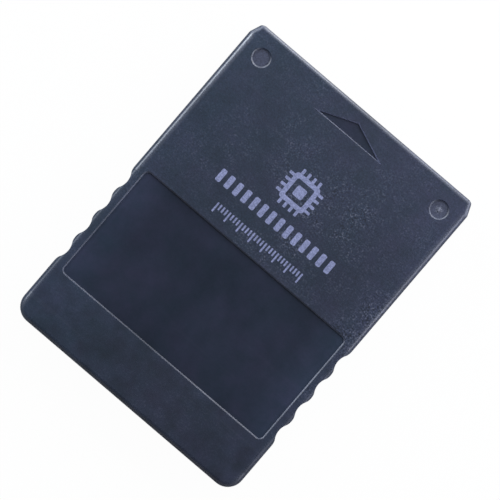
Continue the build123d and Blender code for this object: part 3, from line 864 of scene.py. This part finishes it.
def makeRowTree():  # a row of marks that hang from one line, some of them longer
    tree, given, result = newGroup(
        "printRow", "GeometryNodeTree", signInputs(cellRow), [("Geometry", "Geometry")]
    )
    outline = roundedPatch(tree, given["Width"], given["Height"], given["Corner"])
    mark = inkFilm(tree, outline, given["Thickness"])
    drop = addNode(tree, "ShaderNodeCombineXYZ", {"Y": product(tree, given["Height"], -0.5)})
    hung = addNode(tree, "GeometryNodeTransform", {"Geometry": mark, "Translation": drop.outputs[0]})
    index = addNode(tree, "GeometryNodeInputIndex").outputs[0]
    isTall = calc(tree, "LESS_THAN", calc(tree, "MODULO", index, given["Tall Every"]), 0.5)
    longer = product(tree, isTall, calc(tree, "SUBTRACT", given["Tall Scale"], 1.0))
    stretch = calc(tree, "ADD", 1.0, longer)
    scale = addNode(tree, "ShaderNodeCombineXYZ", {"X": 1.0, "Y": stretch, "Z": 1.0})
    points = centredLine(tree, given["Count"], given["Pitch"], 0.0)
    marks = {"Points": points, "Instance": hung.outputs[0], "Scale": scale.outputs[0]}
    row = addNode(tree, "GeometryNodeInstanceOnPoints", marks)
    feed(tree, result["Geometry"], finishPrint(tree, row.outputs[0], given["Place"], given["Ink"]))
    return tree


def makeChipTree():  # a square ring round a die, with pins on its four sides
    tree, given, result = newGroup(
        "printChip", "GeometryNodeTree", signInputs(chipSign), [("Geometry", "Geometry")]
    )
    size, thickness = given["Size"], given["Thickness"]
    inner = calc(tree, "SUBTRACT", size, product(tree, given["Stroke"], 2.0))
    innerCorner = product(tree, given["Corner"], 0.5)
    outline = roundedPatch(tree, size, size, given["Corner"])
    ring = joined(tree, outline, roundedPatch(tree, inner, inner, innerCorner))
    die = roundedPatch(tree, given["Die"], given["Die"], innerCorner)
    pinCorner = product(tree, given["Pin Width"], 0.25)
    pin = inkFilm(tree, roundedPatch(tree, given["Pin Width"], given["Pin Length"], pinCorner), thickness)
    proud = product(tree, given["Pin Length"], 0.9)  # the rest of a pin lies in the ring
    reach = product(tree, calc(tree, "ADD", size, proud), 0.5)
    points = centredLine(tree, given["Pins"], given["Pin Pitch"], reach)
    side = addNode(tree, "GeometryNodeInstanceOnPoints", {"Points": points, "Instance": pin})
    centres = addNode(tree, "GeometryNodePoints", {"Count": 4})
    quarter = product(tree, addNode(tree, "GeometryNodeInputIndex").outputs[0], pi / 2)
    turn = addNode(tree, "ShaderNodeCombineXYZ", {"Z": quarter})
    turned = {"Points": centres.outputs[0], "Instance": side.outputs[0], "Rotation": turn.outputs[0]}
    pins = addNode(tree, "GeometryNodeInstanceOnPoints", turned)
    sign = joined(tree, inkFilm(tree, ring, thickness), inkFilm(tree, die, thickness), pins.outputs[0])
    feed(tree, result["Geometry"], finishPrint(tree, sign, given["Place"], given["Ink"]))
    return tree


def growPiece(name, tree, values):  # runs a geometry tree once and keeps its plain mesh
    piece = bpy.data.objects.new(name, bpy.data.meshes.new(name + "Seed"))
    bpy.context.scene.collection.objects.link(piece)
    grower = piece.modifiers.new(name, "NODES")
    grower.node_group = tree
    for item in tree.interface.items_tree:
        if item.in_out == "INPUT" and item.name in values:
            grower[item.identifier] = values[item.name]
    depsgraph = bpy.context.evaluated_depsgraph_get()
    grown = bpy.data.meshes.new_from_object(piece.evaluated_get(depsgraph), depsgraph=depsgraph)
    piece.modifiers.clear()
    piece.data = grown
    grown.name = name
    print("%s: %d faces" % (name, len(grown.polygons)))
    return piece


def addPrint():
    ink = makePrintInk()
    rowTree = makeRowTree()
    thickness = printInk["film"] + printInk["sunk"]
    for name, tree, sizes in (
        ("print_chip", makeChipTree(), chipSign),
        ("print_cells", rowTree, cellRow),
        ("print_scale", rowTree, scaleRow),
    ):
        place = (0.0, connectorEdge - printStarts[name], cardFront - printInk["sunk"])
        piece = growPiece(name, tree, {**sizes, "Thickness": thickness, "Place": place, "Ink": ink})
        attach(piece, "root")


addPrint()


# stage: white floor, soft lamps, pale surroundings
stage = {
    "floorSize": 4.0,
    "floorDrop": 0.02 * mm,
    "floorWhite": colour(0.93, 0.93, 0.93),
    "floorGlow": 0.975,
}
softboxes = {  # place is azimuth from +X, elevation and distance from the card
    "connectorSoftbox": {
        "place": (80.0, 33.0, 0.18), "size": (0.14, 0.19), "power": 0.31, "tint": (0.97, 0.99, 1.06),
    },
    "leftStrip": {
        "place": (168.0, 26.0, 0.30), "size": (0.24, 0.19), "power": 0.54, "tint": (0.89, 0.99, 1.10),
    },
    "rightStrip": {
        "place": (18.0, 26.0, 0.30), "size": (0.24, 0.19), "power": 0.295, "tint": (0.94, 0.98, 1.13),
    },
}
studio = {
    "side": 0.42,
    "zenith": 0.16,
    "climb": (0.2, 1.0),
    "behind": 0.35,
    "ahead": 1.15,
    "turn": (-0.7, 0.5),
    "horizon": 0.95,
    "horizonBand": (0.06, 0.18),
}
camera = {
    "lens": 600.0,
    "frameWidth": 73.25 * mm,
    "turn": 40.5,
    "aim": (-0.10 * mm, 1.40 * mm),
    "clip": (0.01, 20.0),
}


def addFloor():
    half = stage["floorSize"] / 2
    corners = [(-half, -half), (half, -half), (half, half), (-half, half)]
    mesh = bpy.data.meshes.new("floor")
    mesh.from_pydata([(x, y, -stage["floorDrop"]) for x, y in corners], [], [(0, 1, 2, 3)])
    floor = bpy.data.objects.new("floor", mesh)
    bpy.context.scene.collection.objects.link(floor)
    material = bpy.data.materials.new("floorWhite")
    material.use_nodes = True
    tree = material.node_tree
    tree.nodes.clear()
    matte = addNode(tree, "ShaderNodeBsdfDiffuse", {"Color": stage["floorWhite"]})
    glow = addNode(tree, "ShaderNodeEmission", {"Color": colour(1.0, 1.0, 1.0), "Strength": 1.0})
    path = addNode(tree, "ShaderNodeLightPath").outputs
    seen = calc(tree, "MAXIMUM", path["Is Camera Ray"], path["Is Glossy Ray"])
    seen = calc(tree, "MAXIMUM", seen, path["Is Transmission Ray"])
    share = product(tree, seen, stage["floorGlow"])
    blend = addNode(tree, "ShaderNodeMixShader", {0: share, 1: matte.outputs[0], 2: glow.outputs[0]})
    output = addNode(tree, "ShaderNodeOutputMaterial")
    tree.links.new(blend.outputs[0], output.inputs["Surface"])
    mesh.materials.append(material)


def addLamps():
    aim = Vector((0.0, 0.0, cardFront))
    for name, lamp in softboxes.items():
        light = bpy.data.lights.new(name, "AREA")
        light.shape = "RECTANGLE"
        light.size, light.size_y = lamp["size"]
        light.energy = lamp["power"]
        light.color = lamp["tint"]
        holder = bpy.data.objects.new(name, light)
        bpy.context.scene.collection.objects.link(holder)
        turn, rise, distance = lamp["place"]
        flat = cos(radians(rise)) * distance
        height = sin(radians(rise)) * distance
        offset = Vector((flat * cos(radians(turn)), flat * sin(radians(turn)), height))
        holder.location = aim + offset
        holder.rotation_euler = (-offset).to_track_quat("-Z", "Y").to_euler()
        holder.visible_camera = False


def addWorld():
    world = bpy.data.worlds.new("studio")
    world.use_nodes = True
    tree = world.node_tree
    tree.nodes.clear()
    axes = coordinates(tree, "Generated")[1]
    sky = remap(tree, axes["Z"], *studio["climb"], studio["side"], studio["zenith"])
    sky = product(tree, sky, remap(tree, axes["Y"], *studio["turn"], studio["behind"], studio["ahead"]))
    horizon = remap(tree, axes["Z"], *studio["horizonBand"], studio["horizon"], 0.0)
    level = calc(tree, "MAXIMUM", sky, horizon)
    backdrop = addNode(tree, "ShaderNodeBackground", {"Color": level, "Strength": 1.0})
    output = addNode(tree, "ShaderNodeOutputWorld")
    tree.links.new(backdrop.outputs[0], output.inputs["Surface"])
    bpy.context.scene.world = world


def addCamera():
    lens = bpy.data.cameras.new("camera")
    lens.lens = camera["lens"]
    lens.clip_start, lens.clip_end = camera["clip"]
    holder = bpy.data.objects.new("camera", lens)
    bpy.context.scene.collection.objects.link(holder)
    distance = camera["lens"] / lens.sensor_width * camera["frameWidth"]
    holder.location = (*camera["aim"], cardFront + distance)
    holder.rotation_euler = (0.0, 0.0, radians(camera["turn"]))
    bpy.context.scene.camera = holder


addFloor()
addLamps()
addWorld()
addCamera()
bpy.context.scene.view_settings.view_transform = "Standard"
print("stage: floor, %d lamps, camera" % len(softboxes))
